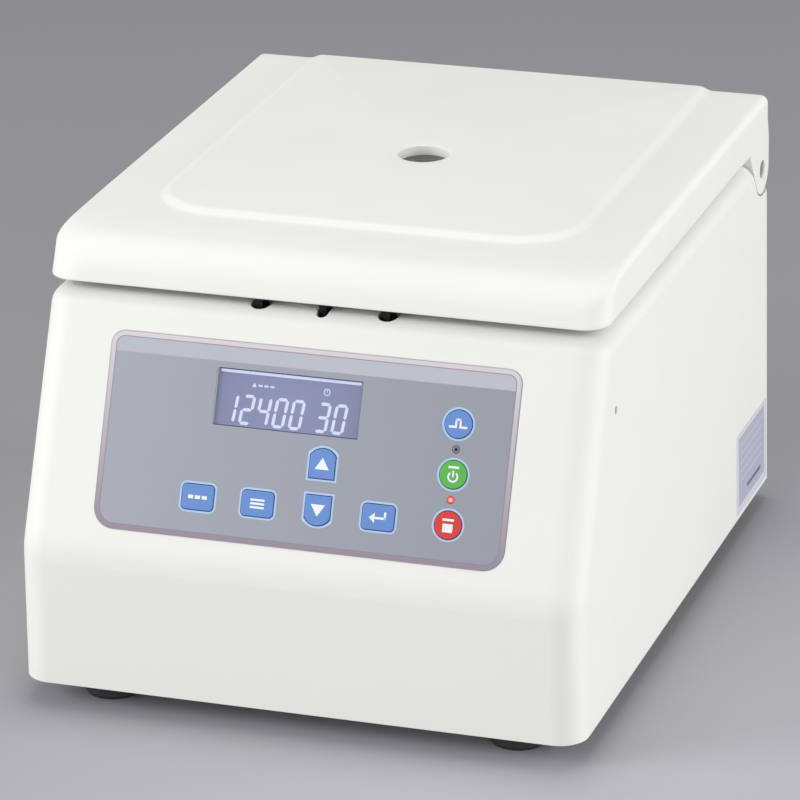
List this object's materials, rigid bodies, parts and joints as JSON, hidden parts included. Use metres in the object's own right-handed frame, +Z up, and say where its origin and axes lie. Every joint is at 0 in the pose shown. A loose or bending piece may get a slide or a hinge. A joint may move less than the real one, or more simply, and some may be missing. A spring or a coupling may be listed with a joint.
{
  "type": "benchtop microcentrifuge",
  "caption": "Bench-top centrifuge for micro-tubes with a hinged lid over its rotor chamber and a sloping control face with display and keys.",
  "frame": {"origin": "centre of the footprint on the bench, at the underside of the feet", "axes": "+Z up, the control face towards -Y, +X to the right of a person facing it"},
  "size_m": [0.24, 0.299, 0.1912],
  "materials": {
    "casing_plastic": "fine moulded texture, warm white",
    "liner_plastic": "moulded light grey",
    "sheet_steel": "zinc plated sheet",
    "painted_sheet": "powder coat, warm white",
    "fastener_steel": "bright zinc",
    "black_rubber": "moulded",
    "panel_film": "printed film, satin",
    "clear_window": "clear, slightly violet",
    "port_lens": "clear plastic, smoked",
    "display_glass": "backlit blue violet",
    "key_blue": "moulded",
    "key_green": "moulded",
    "key_red": "moulded",
    "lamp_red": "lit",
    "lamp_dark": "unlit",
    "circuit_board": "solder mask",
    "spacer_nylon": "nylon",
    "black_plastic": "moulded",
    "fan_guard_steel": "plated wire",
    "capacitor_sleeve": "shrink sleeve",
    "contact_brass": "plated",
    "label_film": "blank film",
    "bowl_steel": "drawn, satin",
    "guard_steel": "black oxide",
    "motor_aluminium": "die cast",
    "core_iron": "laminated",
    "rotor_aluminium": "machined, anodised",
    "knob_plastic": "moulded"
  },
  "bodies": {
    "base": {"base_plate": "sheet_steel", "board_posts": "spacer_nylon", "cabinet": "casing_plastic", "casing_screws": "fastener_steel", "chamber_boot": "black_rubber", "chamber_bowl": "bowl_steel", "control_board": "circuit_board", "display_module": "display_glass", "display_window": "clear_window", "drive_board": "circuit_board", "drive_capacitors": "capacitor_sleeve", "fan_frame": "black_plastic", "fan_guard": "fan_guard_steel", "guard_ring": "guard_steel", "heat_sink": "motor_aluminium", "hinge_brackets": "sheet_steel", "inlet_blades": "contact_brass", "key_switches": "black_plastic", "lid_sensor": "black_plastic", "lock_housing": "sheet_steel", "lock_solenoid": "black_plastic", "motor_bearings": "fastener_steel", "motor_cap": "motor_aluminium", "motor_housing": "motor_aluminium", "motor_mounts": "black_rubber", "motor_plate": "sheet_steel", "motor_stator": "core_iron", "panel_overlay": "panel_film", "power_inlet": "black_plastic", "rating_label": "label_film", "ready_light": "lamp_dark", "rear_panel": "painted_sheet", "rubber_feet": "black_rubber", "run_light": "lamp_red", "switch_bezel": "black_plastic", "transformer": "core_iron"},
    "lid": {"lid_cover": "casing_plastic", "lid_liner": "liner_plastic", "lid_screws": "fastener_steel", "lid_gasket": "black_rubber", "view_port": "port_lens", "hinge_pins": "fastener_steel", "lid_strikers": "fastener_steel"},
    "rotor": {"motor_shaft": "fastener_steel", "motor_magnet": "core_iron", "angle_rotor": "rotor_aluminium", "rotor_cover": "rotor_aluminium"},
    "knob": {"rotor_knob": "knob_plastic"},
    "lock": {"lock_slide": "fastener_steel"},
    "fuse": {"fuse_drawer": "black_plastic"},
    "rocker": {"power_rocker": "black_plastic"},
    "fan": {"fan_rotor": "black_plastic"},
    "set_key": {"set_key": "key_blue"},
    "mode_key": {"mode_key": "key_blue"},
    "down_key": {"down_key": "key_blue"},
    "enter_key": {"enter_key": "key_blue"},
    "up_key": {"up_key": "key_blue"},
    "stop_key": {"stop_key": "key_red"},
    "start_key": {"start_key": "key_green"},
    "pulse_key": {"pulse_key": "key_blue"}
  },
  "joints": [
    {"name": "lid_hinge", "type": "hinge", "parent": "base", "child": "lid", "pos_m": [0, 0.1385, 0.1584], "axis": [-1, 0, 0], "range_deg": [0, 80]},
    {"name": "rotor_spin", "type": "hinge", "parent": "base", "child": "rotor", "pos_m": [0, 0.0265, 0.1], "axis": [0, 0, 1], "continuous": true},
    {"name": "knob_turn", "type": "hinge", "parent": "rotor", "child": "knob", "pos_m": [0, 0.0265, 0.153], "axis": [0, 0, 1], "continuous": true},
    {"name": "fan_spin", "type": "hinge", "parent": "base", "child": "fan", "pos_m": [0.045, 0.13, 0.062], "axis": [0, 1, 0], "continuous": true},
    {"name": "rocker_tilt", "type": "hinge", "parent": "base", "child": "rocker", "pos_m": [-0.022, 0.1443, 0.062], "axis": [-1, 0, 0], "range_deg": [0, 22]},
    {"name": "fuse_pull", "type": "slide", "parent": "base", "child": "fuse", "axis": [0, 1, 0], "range_m": [0, 0.015]},
    {"name": "lock_draw", "type": "slide", "parent": "base", "child": "lock", "axis": [1, 0, 0], "range_m": [0, 0.0046], "stiffness_N_per_m": 200, "springref_m": -0.002},
    {"name": "set_press", "type": "slide", "parent": "base", "child": "set_key", "axis": [0, 0.9219, -0.3875], "range_m": [0, 0.0005], "stiffness_N_per_m": 800, "springref_m": -0.0002},
    {"name": "mode_press", "type": "slide", "parent": "base", "child": "mode_key", "axis": [0, 0.9219, -0.3875], "range_m": [0, 0.0005], "stiffness_N_per_m": 800, "springref_m": -0.0002},
    {"name": "down_press", "type": "slide", "parent": "base", "child": "down_key", "axis": [0, 0.9219, -0.3875], "range_m": [0, 0.0005], "stiffness_N_per_m": 800, "springref_m": -0.0002},
    {"name": "enter_press", "type": "slide", "parent": "base", "child": "enter_key", "axis": [0, 0.9219, -0.3875], "range_m": [0, 0.0005], "stiffness_N_per_m": 800, "springref_m": -0.0002},
    {"name": "up_press", "type": "slide", "parent": "base", "child": "up_key", "axis": [0, 0.9219, -0.3875], "range_m": [0, 0.0005], "stiffness_N_per_m": 800, "springref_m": -0.0002},
    {"name": "stop_press", "type": "slide", "parent": "base", "child": "stop_key", "axis": [0, 0.9219, -0.3875], "range_m": [0, 0.0005], "stiffness_N_per_m": 800, "springref_m": -0.0002},
    {"name": "start_press", "type": "slide", "parent": "base", "child": "start_key", "axis": [0, 0.9219, -0.3875], "range_m": [0, 0.0005], "stiffness_N_per_m": 800, "springref_m": -0.0002},
    {"name": "pulse_press", "type": "slide", "parent": "base", "child": "pulse_key", "axis": [0, 0.9219, -0.3875], "range_m": [0, 0.0005], "stiffness_N_per_m": 800, "springref_m": -0.0002}
  ]
}
